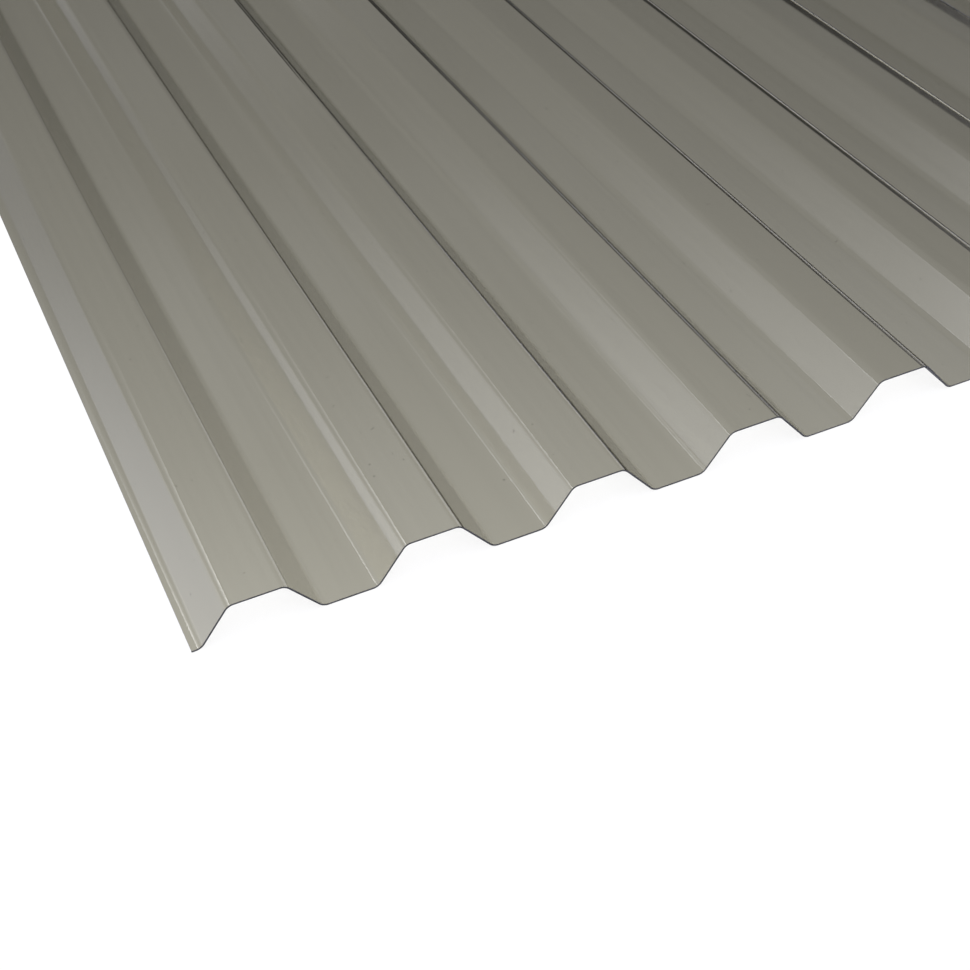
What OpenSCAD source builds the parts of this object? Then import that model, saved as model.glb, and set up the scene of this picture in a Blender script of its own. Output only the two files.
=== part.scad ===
// Trapezoidal roofing sheet, extruded in one piece from smoke-tinted polycarbonate.
// The corrugations run along Y. The sheet lies on its valleys: their underside is z = 0,
// and the origin is under the middle of the sheet.

/* [Profile] */
// Distance from one crest to the next
pitch = 76; // [72:1:90]
// Width of a crest between the corners of its two webs
crest_w = 24; // [18:1:28]
// Width of a valley between the corners of its two webs
valley_w = 24; // [18:1:28]
// Depth of the profile, from the underside of a valley to the top of a crest
depth = 18; // [12:1:24]
// Thickness of the sheet
thickness = 0.8; // [0.7:0.1:1.5]
// Radius of every bend, at the middle of the thickness
bend_r = 5; // [3:0.5:6]

/* [Sheet] */
// Number of crests side by side
crests = 14; // [4:2:16]
// Length of the sheet along its corrugations
length = 2000; // [500:100:6000]
// Flat lip left beyond the last bend along each side edge
lip_w = 1.6; // [1:0.2:4]

/* [Hidden] */

smoke_grey = [0.60, 0.59, 0.54, 0.75];
facets = 96;

// The middle of the thickness climbs by rise over a web that is web_run wide.
rise = depth - thickness;
web_run = (pitch - crest_w - valley_w) / 2;
web_angle = atan2(rise, web_run);

// A bend takes this much from the flat and from the web that meet in its corner.
bend_reach = bend_r * tan(web_angle / 2);

// Half of the width from one foot of a crest to the other, with the lips and without the bends.
foot = crest_w / 2 + web_run;
sheet_w = (crests - 1) * pitch + 2 * (foot + bend_reach + lip_w);

// An arc this much larger than its tangent circle crosses the flat and the web cleanly.
arc_gain = 0.001;

// Puts its children at every crest.
module at_crests() {
    for (i = [0 : crests - 1]) {
        translate([(i - (crests - 1) / 2) * pitch, 0]) children();
    }
}

// What lies between an arc about the origin and the corner of the flat and the web it joins.
module corner(arc_r) {
    reach = arc_r / pow(cos(web_angle / 2), 2) + thickness;
    difference() {
        polygon([
            [0, 0],
            [0, -reach],
            reach * [sin(web_angle), -cos(web_angle)]
        ]);
        circle(r = arc_r + arc_gain, $fn = facets);
    }
}

// The like corners to the left and the right of a crest, about the middles of their arcs.
module corner_pair(half_w, level, turn, arc_r) {
    translate([-half_w, level]) rotate(turn) corner(arc_r);
    translate([half_w, level]) rotate(turn - web_angle) corner(arc_r);
}

// Everything below a surface that runs at a given level above the middle of the thickness.
module below(level, width, bottom) {
    spread = level * tan(web_angle / 2);
    difference() {
        union() {
            translate([-width / 2, bottom]) square([width, level - bottom]);
            at_crests() {
                polygon([
                    [-foot - spread, level],
                    [foot + spread, level],
                    [crest_w / 2 + spread, rise + level],
                    [-crest_w / 2 - spread, rise + level]
                ]);
                corner_pair(foot + bend_reach, bend_r, 0, bend_r - level);
            }
        }
        at_crests() corner_pair(crest_w / 2 - bend_reach, rise - bend_r, 180, bend_r + level);
    }
}

// Section of the sheet: what lies below its upper surface and not below its underside.
module section() {
    difference() {
        below(thickness / 2, sheet_w, -depth);
        below(-thickness / 2, sheet_w + depth, -2 * depth);
    }
}

module trapezoid_sheet() {
    color(smoke_grey)
        translate([0, 0, thickness / 2])
            rotate([90, 0, 0])
                linear_extrude(height = length, center = true) section();
}

trapezoid_sheet();
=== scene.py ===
"""Smoke-tinted trapezoidal roofing sheet of clear polycarbonate, lying flat on a pale studio floor."""
import math

import bpy
import numpy as np
from mathutils import Euler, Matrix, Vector


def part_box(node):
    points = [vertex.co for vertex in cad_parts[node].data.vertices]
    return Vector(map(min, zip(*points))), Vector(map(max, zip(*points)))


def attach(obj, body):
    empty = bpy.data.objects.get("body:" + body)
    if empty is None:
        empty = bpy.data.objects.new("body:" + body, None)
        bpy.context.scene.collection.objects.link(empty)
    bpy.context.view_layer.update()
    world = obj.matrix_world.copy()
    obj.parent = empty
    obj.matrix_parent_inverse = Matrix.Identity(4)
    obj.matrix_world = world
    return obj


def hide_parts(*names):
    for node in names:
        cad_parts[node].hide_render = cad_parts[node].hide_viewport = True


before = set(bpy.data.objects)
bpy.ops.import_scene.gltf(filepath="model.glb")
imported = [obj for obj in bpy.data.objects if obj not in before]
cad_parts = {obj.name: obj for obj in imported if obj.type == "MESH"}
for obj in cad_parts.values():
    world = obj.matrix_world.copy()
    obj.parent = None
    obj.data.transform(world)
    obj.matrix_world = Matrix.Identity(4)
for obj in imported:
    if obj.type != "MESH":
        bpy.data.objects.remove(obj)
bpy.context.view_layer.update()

# ---------------------------------------------------------------------------------------------
# The sheet: one extruded web of polycarbonate, pressed through rollers into flat crests and
# valleys with a steep web between them. Every bend is a small even arc, because a hot thin
# sheet doesn't take a sharp fold. Both ends are sawn square and both sides end in a short lip.
# ---------------------------------------------------------------------------------------------
sheet_low, sheet_high = (Vector(corner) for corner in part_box("trapezoid_sheet"))
sheet_size = sheet_high - sheet_low
sheet_middle = (sheet_low + sheet_high) / 2

PITCH = 0.076            # from one crest to the next
CREST_WIDTH = 0.024      # between the corners of its webs, and the same for a valley
THICKNESS = 0.0008
BEND_RADIUS = 0.005      # at the middle of the thickness
BEND_STEPS = 12          # flat strips that make up one bend
EASE = 0.0004            # narrow strip beside each bend, which keeps the wide flats flat
ROWS = 40                # stretches along the length
WAVE = 0.00012           # how far the thin sheet strays from true
CREASE = math.radians(35)     # keeps the sawn edges sharp and the bends smooth
SMOKE_TINT = (0.526, 0.5, 0.38, 1)
SMOKE_DENSITY = 1500.0   # of the absorption, per metre
SHADOW_TINT = (0.84, 0.83, 0.79, 1)


def corrugation_steps():
    """Chord and heading of every straight step across one pitch, from valley middle to valley middle.

    A flat or a web keeps its heading. A bend turns through the web's angle in equal steps, each
    a chord of 2 r sin(step / 2) along the heading half way through that step.
    """
    rise = sheet_size.z - THICKNESS
    run = PITCH / 2 - CREST_WIDTH
    slope = math.atan2(rise, run)
    taken = BEND_RADIUS * math.tan(slope / 2)
    flat = CREST_WIDTH - 2 * taken
    web = math.hypot(rise, run) - 2 * taken
    turn = slope / BEND_STEPS
    arc_chords = np.full(BEND_STEPS, 2 * BEND_RADIUS * math.sin(turn / 2))
    arc_headings = (np.arange(BEND_STEPS) + 0.5) * turn

    half_flat = np.array([flat / 2 - EASE, EASE])
    web_chords = np.array([EASE, (web - 2 * EASE) / 2, (web - 2 * EASE) / 2, EASE])
    climb = np.concatenate([half_flat, arc_chords, web_chords, arc_chords, half_flat[::-1]])
    climb_headings = np.concatenate([
        np.zeros(2), arc_headings, np.full(4, slope), arc_headings[::-1], np.zeros(2)])
    chords = np.concatenate([climb, climb[::-1]])
    headings = np.concatenate([climb_headings, -climb_headings[::-1]])
    return chords, headings, flat / 2


def sheet_section():
    """Points along the middle of the sheet's thickness, and the normal at each of them.

    The steps of one corrugation repeat across the width. Their running sum gives the points, and
    the mean heading of the steps on either side gives the normal. The first and last valleys are
    cut back to the lip.
    """
    chords, headings, half_valley = corrugation_steps()
    crests = int(sheet_size.x // PITCH) + 1
    chords, headings = np.tile(chords, crests), np.tile(headings, crests)
    lip = (sheet_size.x - crests * PITCH) / 2 + half_valley
    chords[[0, -1]] = lip - EASE
    x = np.concatenate([[0], np.cumsum(chords * np.cos(headings))])
    z = np.concatenate([[0], np.cumsum(chords * np.sin(headings))])
    at_points = (np.concatenate([headings[:1], headings]) + np.concatenate([headings, headings[-1:]])) / 2
    points = np.stack([x - x[-1] / 2 + sheet_middle.x, z + THICKNESS / 2 + sheet_low.z], axis=1)
    normals = np.stack([-np.sin(at_points), np.cos(at_points)], axis=1)
    return points, normals


def sheet_wave(x, y):
    """Height that a thin sheet strays by: a few long sine waves across and along it, at most WAVE."""
    along = np.sin(2 * np.pi * y / 0.83 + 5.1 * x) + 0.6 * np.sin(2 * np.pi * y / 0.37 - 9.0 * x + 1.3)
    across = 0.7 * np.sin(2 * np.pi * x / 0.41 + 0.8)
    return WAVE * (along + across) / 2.3


def build_sheet():
    """Upper and lower skins, half the thickness either side of the middle line, carried along Y.

    Both skins are grids of rows by points. Strips join them along the two sides and the two ends.
    """
    points, normals = sheet_section()
    y = np.linspace(sheet_low.y, sheet_high.y, ROWS + 1)
    skins = []
    for side in (1, -1):
        skin = points + side * THICKNESS / 2 * normals
        grid = np.empty((ROWS + 1, len(points), 3))
        grid[..., 0] = skin[:, 0]
        grid[..., 1] = y[:, None]
        grid[..., 2] = skin[:, 1] + sheet_wave(points[:, 0], y[:, None])
        skins.append(grid.reshape(-1, 3))
    vertices = np.concatenate(skins)
    vertices[:, 2] = np.clip(vertices[:, 2], sheet_low.z, sheet_high.z)

    index = np.arange(2 * (ROWS + 1) * len(points)).reshape(2, ROWS + 1, len(points))
    top, under = index

    def quads(a, b, c, d):
        return np.stack([a.ravel(), b.ravel(), c.ravel(), d.ravel()], axis=1)

    faces = np.concatenate([
        quads(top[:-1, :-1], top[:-1, 1:], top[1:, 1:], top[1:, :-1]),
        quads(under[:-1, :-1], under[1:, :-1], under[1:, 1:], under[:-1, 1:]),
        quads(top[0, :-1], under[0, :-1], under[0, 1:], top[0, 1:]),
        quads(top[-1, :-1], top[-1, 1:], under[-1, 1:], under[-1, :-1]),
        quads(top[:-1, 0], top[1:, 0], under[1:, 0], under[:-1, 0]),
        quads(top[:-1, -1], under[:-1, -1], under[1:, -1], top[1:, -1]),
    ])
    mesh = bpy.data.meshes.new("smoke_sheet")
    mesh.from_pydata(vertices.tolist(), [], faces.tolist())
    mesh.polygons.foreach_set("use_smooth", np.ones(len(faces), dtype=bool))
    mesh.set_sharp_from_angle(angle=CREASE)
    mesh.update()
    piece = bpy.data.objects.new("smoke_sheet", mesh)
    bpy.context.collection.objects.link(piece)
    return piece


def math_node(tree, operation, *values):
    """Maths node on numbers and sockets, as an output socket."""
    node = tree.nodes.new("ShaderNodeMath")
    node.operation = operation
    for socket, value in zip(node.inputs, values):
        if isinstance(value, float):
            socket.default_value = value
        else:
            tree.links.new(value, socket)
    return node.outputs["Value"]


def smoke_polycarbonate():
    """Clear plastic of IOR 1.585 with a smoke tint all through and a glossy skin.

    The rollers leave faint lines along the sheet, the skin waves a little, and a few specks of
    dust sit in the plastic.
    """
    material = bpy.data.materials.new("smoke_polycarbonate")
    material.use_nodes = True
    nodes, links = material.node_tree.nodes, material.node_tree.links
    nodes.clear()
    output = nodes.new("ShaderNodeOutputMaterial")
    plastic = nodes.new("ShaderNodeBsdfPrincipled")
    plastic.inputs["Transmission Weight"].default_value = 1.0
    plastic.inputs["IOR"].default_value = 1.585
    tint = nodes.new("ShaderNodeVolumeAbsorption")
    tint.inputs["Color"].default_value = SMOKE_TINT
    tint.inputs["Density"].default_value = SMOKE_DENSITY
    clear = nodes.new("ShaderNodeBsdfTransparent")
    clear.inputs["Color"].default_value = SHADOW_TINT
    path = nodes.new("ShaderNodeLightPath")
    mix = nodes.new("ShaderNodeMixShader")
    links.new(path.outputs["Is Shadow Ray"], mix.inputs["Fac"])
    links.new(plastic.outputs["BSDF"], mix.inputs[1])
    links.new(clear.outputs["BSDF"], mix.inputs[2])
    links.new(mix.outputs["Shader"], output.inputs["Surface"])
    links.new(tint.outputs["Volume"], output.inputs["Volume"])
    place = nodes.new("ShaderNodeTexCoord")

    def noise(stretch, detail):
        """Noise whose grain repeats about stretch times a metre along each axis."""
        fit = nodes.new("ShaderNodeMapping")
        fit.inputs["Scale"].default_value = stretch
        grain = nodes.new("ShaderNodeTexNoise")
        grain.inputs["Scale"].default_value = 1.0
        grain.inputs["Detail"].default_value = detail
        links.new(place.outputs["Object"], fit.inputs["Vector"])
        links.new(fit.outputs["Vector"], grain.inputs["Vector"])
        return grain.outputs["Fac"]

    def ramp(value, low, high, start, end):
        """Straight line from start at low to end at high, held level beyond both."""
        line = nodes.new("ShaderNodeMapRange")
        line.inputs["From Min"].default_value = low
        line.inputs["From Max"].default_value = high
        line.inputs["To Min"].default_value = start
        line.inputs["To Max"].default_value = end
        links.new(value, line.inputs["Value"])
        return line.outputs["Result"]

    roller_lines = ramp(noise((260, 1.5, 260), 3), 0.35, 0.65, 0.975, 1.0)
    dust = ramp(noise((420, 420, 420), 0), 0.855, 0.89, 1.0, 0.7)
    both = math_node(material.node_tree, "MULTIPLY", roller_lines, dust)
    links.new(both, plastic.inputs["Base Color"])
    links.new(ramp(noise((9, 5, 9), 2), 0.3, 0.7, 0.025, 0.07), plastic.inputs["Roughness"])

    waves = nodes.new("ShaderNodeBump")
    waves.inputs["Distance"].default_value = 0.0006
    waves.inputs["Strength"].default_value = 0.25
    links.new(noise((16, 9, 16), 1), waves.inputs["Height"])
    lines = nodes.new("ShaderNodeBump")
    lines.inputs["Distance"].default_value = 0.00002
    lines.inputs["Strength"].default_value = 0.4
    links.new(noise((300, 3, 300), 2), lines.inputs["Height"])
    links.new(waves.outputs["Normal"], lines.inputs["Normal"])
    links.new(lines.outputs["Normal"], plastic.inputs["Normal"])
    return material


sheet = build_sheet()
sheet.data.materials.append(smoke_polycarbonate())
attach(sheet, "root")
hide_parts("trapezoid_sheet")

# ---------------------------------------------------------------------------------------------
# The floor: a wide matt white board that the sheet lies on. The eye sees it as even white with
# only a soft trace of shadow. Through the plastic it shows a painted pool of light, brightest
# near the front left corner, which stands in for lamp light falling off with distance.
# ---------------------------------------------------------------------------------------------
FLOOR_SIZE = 30.0
FLOOR_DROP = 0.0005      # the valleys touch it only here and there, with air between
FLOOR_GREY = 0.85        # its paint
EYE_GLOW = 0.85          # share of the glow in what the eye sees; the rest takes the shadow
# The glow seen through the plastic is a painted pool of light, and these numbers set how it fades
NEAR_PAINTED_GLOW = 0.86         # glow at the corner
FAR_PAINTED_GLOW = 0.405         # glow far from it
GLOW_REACH = (0.51, 0.267)
GLOW_WIDTH = 0.78        # further right than this it sinks quickly
GLOW_SINK = 0.35         # and is divided by 1 + this at the most


def floor_white():
    """White paint under a glow, which is strength 1 to the eye.

    Through plastic the glow is a painted pool of light, far + (near - far) exp(-x / reach_x -
    y / reach_y), all over 1 + (x / width)^3 or over 1 + sink where that is less, with x and y from
    the near left corner of the sheet. What a surface mirrors directly is the room, not the floor.
    """
    material = bpy.data.materials.new("floor_white")
    material.use_nodes = True
    material.cycles.emission_sampling = "NONE"
    tree = material.node_tree
    nodes, links = tree.nodes, tree.links
    nodes.clear()
    output = nodes.new("ShaderNodeOutputMaterial")
    paint = nodes.new("ShaderNodeBsdfDiffuse")
    paint.inputs["Color"].default_value = (FLOOR_GREY, FLOOR_GREY, FLOOR_GREY, 1)
    glow = nodes.new("ShaderNodeEmission")
    hole = nodes.new("ShaderNodeBsdfTransparent")
    path = nodes.new("ShaderNodeLightPath")
    eye, through = path.outputs["Is Camera Ray"], path.outputs["Is Transmission Ray"]

    place = nodes.new("ShaderNodeTexCoord")
    axes = nodes.new("ShaderNodeSeparateXYZ")
    links.new(place.outputs["Object"], axes.inputs["Vector"])
    x = math_node(tree, "MAXIMUM", math_node(tree, "SUBTRACT", axes.outputs["X"], sheet_low.x), 0.0)
    y = math_node(tree, "MAXIMUM", math_node(tree, "SUBTRACT", axes.outputs["Y"], sheet_low.y), 0.0)
    reach_x = math_node(tree, "DIVIDE", x, GLOW_REACH[0])
    reach_y = math_node(tree, "DIVIDE", y, GLOW_REACH[1])
    reach = math_node(tree, "ADD", reach_x, reach_y)
    fading = math_node(tree, "EXPONENT", math_node(tree, "MULTIPLY", reach, -1.0))
    # painted pool of light: bright at the near left corner, dimmer further away
    soft = math_node(tree, "MULTIPLY_ADD", fading, NEAR_PAINTED_GLOW - FAR_PAINTED_GLOW, FAR_PAINTED_GLOW)
    wide = math_node(tree, "POWER", math_node(tree, "DIVIDE", x, GLOW_WIDTH), 3.0)
    sink = math_node(tree, "ADD", math_node(tree, "MINIMUM", wide, GLOW_SINK), 1.0)
    soft = math_node(tree, "DIVIDE", soft, sink)
    links.new(math_node(tree, "MAXIMUM", soft, eye), glow.inputs["Strength"])

    mix = nodes.new("ShaderNodeMixShader")
    share = math_node(tree, "MAXIMUM", math_node(tree, "MULTIPLY", eye, EYE_GLOW), through)
    links.new(share, mix.inputs["Fac"])
    links.new(paint.outputs["BSDF"], mix.inputs[1])
    links.new(glow.outputs["Emission"], mix.inputs[2])
    cut = nodes.new("ShaderNodeMixShader")
    mirrored = math_node(tree, "SUBTRACT", path.outputs["Is Glossy Ray"], through)
    links.new(math_node(tree, "MAXIMUM", mirrored, 0.0), cut.inputs["Fac"])
    links.new(mix.outputs["Shader"], cut.inputs[1])
    links.new(hole.outputs["BSDF"], cut.inputs[2])
    links.new(cut.outputs["Shader"], output.inputs["Surface"])
    return material


floor_mesh = bpy.data.meshes.new("floor")
floor_edge = FLOOR_SIZE / 2
floor_z = sheet_low.z - FLOOR_DROP
floor_corners = [(-floor_edge, -floor_edge), (floor_edge, -floor_edge), (floor_edge, floor_edge),
                 (-floor_edge, floor_edge)]
floor_mesh.from_pydata([(x, y, floor_z) for x, y in floor_corners], [], [(0, 1, 2, 3)])
floor_mesh.materials.append(floor_white())
floor = bpy.data.objects.new("floor", floor_mesh)
bpy.context.collection.objects.link(floor)

# ---------------------------------------------------------------------------------------------
# The room: dim pale walls with a broad bright side, left and behind, which the left-hand webs
# mirror, a fainter glow high up behind, and two small patches low down beyond the sheet. They
# are white to the eye, and brighter through the plastic than in what it mirrors.
# ---------------------------------------------------------------------------------------------
ROOM_LIGHT = 0.05        # between the patches
ROOM_TINT = (0.98, 1, 1.16, 1)
THROUGH_LEAST = 0.3      # least light that a ray meets which leaves the plastic upwards
THROUGH_GAIN = 2.2       # and how much brighter the patches are to it

scene = bpy.context.scene
scene.view_settings.view_transform = "Standard"
scene.cycles.max_bounces = 16
scene.cycles.diffuse_bounces = 1
scene.cycles.transmission_bounces = 16
scene.cycles.transparent_max_bounces = 16


def studio_room():
    """World that is white to the eye, and as light and in reflections dim with soft bright patches."""
    world = bpy.data.worlds.new("studio_room")
    world.use_nodes = True
    world.cycles.sampling_method = "NONE"
    tree = world.node_tree
    nodes, links = tree.nodes, tree.links
    nodes.clear()
    output = nodes.new("ShaderNodeOutputWorld")
    white = nodes.new("ShaderNodeBackground")
    white.inputs["Color"].default_value = (1, 1, 1, 1)
    room = nodes.new("ShaderNodeBackground")
    room.inputs["Color"].default_value = ROOM_TINT
    path = nodes.new("ShaderNodeLightPath")
    mix = nodes.new("ShaderNodeMixShader")
    links.new(path.outputs["Is Camera Ray"], mix.inputs["Fac"])
    links.new(room.outputs["Background"], mix.inputs[1])
    links.new(white.outputs["Background"], mix.inputs[2])
    links.new(mix.outputs["Shader"], output.inputs["Surface"])
    way = nodes.new("ShaderNodeTexCoord")

    def patch(left, up, inner, outer, strength):
        """Soft patch towards an angle left of +Y and up: full inside inner degrees, gone by outer."""
        left, up = math.radians(left), math.radians(up)
        off = nodes.new("ShaderNodeVectorMath")
        off.operation = "DOT_PRODUCT"
        off.inputs[1].default_value = (
            -math.sin(left) * math.cos(up), math.cos(left) * math.cos(up), math.sin(up))
        edge = nodes.new("ShaderNodeMapRange")
        edge.interpolation_type = "SMOOTHSTEP"
        edge.inputs["From Min"].default_value = math.cos(math.radians(outer))
        edge.inputs["From Max"].default_value = math.cos(math.radians(inner))
        edge.inputs["To Max"].default_value = strength
        links.new(way.outputs["Generated"], off.inputs[0])
        links.new(off.outputs["Value"], edge.inputs["Value"])
        return edge.outputs["Result"]

    bright_side = patch(148, -25, 101, 120, 1.05)
    high_behind = patch(180, 40, 20, 50, 0.4)
    low_right = patch(-53, 3, 9, 24, 0.6)
    low_ahead = patch(10, 2, 5, 22, 0.35)
    total = math_node(tree, "ADD", bright_side, ROOM_LIGHT)
    for light in (high_behind, low_right, low_ahead):
        total = math_node(tree, "ADD", total, light)
    through = path.outputs["Is Transmission Ray"]
    gain = math_node(tree, "MULTIPLY_ADD", through, THROUGH_GAIN, 1.0)
    raised = math_node(tree, "MULTIPLY", gain, total)
    least = math_node(tree, "MULTIPLY", through, THROUGH_LEAST)
    links.new(math_node(tree, "MAXIMUM", raised, least), room.inputs["Strength"])
    return world


scene.world = studio_room()

# ---------------------------------------------------------------------------------------------
# The softbox: a thin glowing cloth hung level, above and to the left of the near left corner,
# and brightest along its front edge. Only mirrored rays meet it, so all that it gives is the
# thin light lines on the bends.
# ---------------------------------------------------------------------------------------------
SOFTBOX_LEVEL = 9.5
SOFTBOX_FADE = 0.098     # it dims by e every so many metres away from its front edge
SOFTBOX_WAIST = 0.367    # and towards its ends as a bell curve of this half width
SOFTBOX_HALF = 0.8       # half of its width
SOFTBOX_DEPTH = (-0.1, 0.6)
SOFTBOX_PLACE = (-0.986, -0.870, 0.405)
SOFTBOX_TURN = math.radians(56.2)


def softbox_cloth():
    """See-through cloth that glows level exp(-y / fade - (x / waist)^2) in its own x and y."""
    material = bpy.data.materials.new("softbox_cloth")
    material.use_nodes = True
    material.cycles.emission_sampling = "NONE"
    tree = material.node_tree
    nodes, links = tree.nodes, tree.links
    nodes.clear()
    output = nodes.new("ShaderNodeOutputMaterial")
    glow = nodes.new("ShaderNodeEmission")
    thin = nodes.new("ShaderNodeBsdfTransparent")
    both = nodes.new("ShaderNodeAddShader")
    place = nodes.new("ShaderNodeTexCoord")
    axes = nodes.new("ShaderNodeSeparateXYZ")
    links.new(place.outputs["Object"], axes.inputs["Vector"])
    fall = math_node(tree, "DIVIDE", axes.outputs["Y"], -SOFTBOX_FADE)
    across = math_node(tree, "MULTIPLY", axes.outputs["X"], axes.outputs["X"])
    bell = math_node(tree, "MULTIPLY_ADD", across, -1 / SOFTBOX_WAIST ** 2, fall)
    level = math_node(tree, "MULTIPLY", math_node(tree, "EXPONENT", bell), SOFTBOX_LEVEL)
    links.new(level, glow.inputs["Strength"])
    links.new(glow.outputs["Emission"], both.inputs[0])
    links.new(thin.outputs["BSDF"], both.inputs[1])
    links.new(both.outputs["Shader"], output.inputs["Surface"])
    return material


cloth_mesh = bpy.data.meshes.new("softbox")
front, back = SOFTBOX_DEPTH
cloth_corners = [(-SOFTBOX_HALF, front), (-SOFTBOX_HALF, back), (SOFTBOX_HALF, back),
                 (SOFTBOX_HALF, front)]
cloth_mesh.from_pydata([(x, y, 0) for x, y in cloth_corners], [], [(0, 1, 2, 3)])
cloth_mesh.materials.append(softbox_cloth())
softbox = bpy.data.objects.new("softbox", cloth_mesh)
softbox.location = SOFTBOX_PLACE
softbox.rotation_euler = (0, 0, SOFTBOX_TURN)
softbox.visible_camera = False
softbox.visible_diffuse = False
softbox.visible_transmission = False
softbox.visible_shadow = False
bpy.context.collection.objects.link(softbox)

# ---------------------------------------------------------------------------------------------
# The overhead lamp: a large soft disk high over the near end. It lights the floor and gives the
# sheet its faint shadow. Nothing mirrors it, and it isn't seen through the plastic.
# ---------------------------------------------------------------------------------------------
LAMP_SIZE = 3.0
LAMP_WATTS = 90.0
LAMP_PLACE = Vector((-0.9, -1.2, 3.2))
LAMP_AIM = Vector((0, -0.6, 0))

lamp = bpy.data.lights.new("overhead_lamp", "AREA")
lamp.shape = "DISK"
lamp.size = LAMP_SIZE
lamp.energy = LAMP_WATTS
overhead = bpy.data.objects.new("overhead_lamp", lamp)
overhead.location = LAMP_PLACE
overhead.rotation_euler = (LAMP_AIM - LAMP_PLACE).to_track_quat("-Z", "Y").to_euler()
overhead.visible_camera = False
overhead.visible_glossy = False
overhead.visible_transmission = False
bpy.context.collection.objects.link(overhead)

# ---------------------------------------------------------------------------------------------
# The camera: a long lens two thirds of a metre from the near left corner of the sheet. It looks
# down over the corner and a little to the right along the corrugations, and leans slightly.
# ---------------------------------------------------------------------------------------------
LENS = 61.8              # mm, on a sensor 36 mm wide
FROM_CORNER = Vector((-0.0542, -0.4802, 0.4714))
LOOK_DOWN = math.radians(40.32)
LOOK_RIGHT = math.radians(21.02)
LEAN = math.radians(4.74)

camera_data = bpy.data.cameras.new("camera")
camera_data.sensor_width = 36.0
camera_data.lens = LENS
camera = bpy.data.objects.new("camera", camera_data)
camera.location = sheet_low + FROM_CORNER
aim = Euler((math.pi / 2 - LOOK_DOWN, 0, -LOOK_RIGHT)).to_matrix()
camera.rotation_euler = (aim @ Euler((0, 0, -LEAN)).to_matrix()).to_euler()
bpy.context.collection.objects.link(camera)
scene.camera = camera
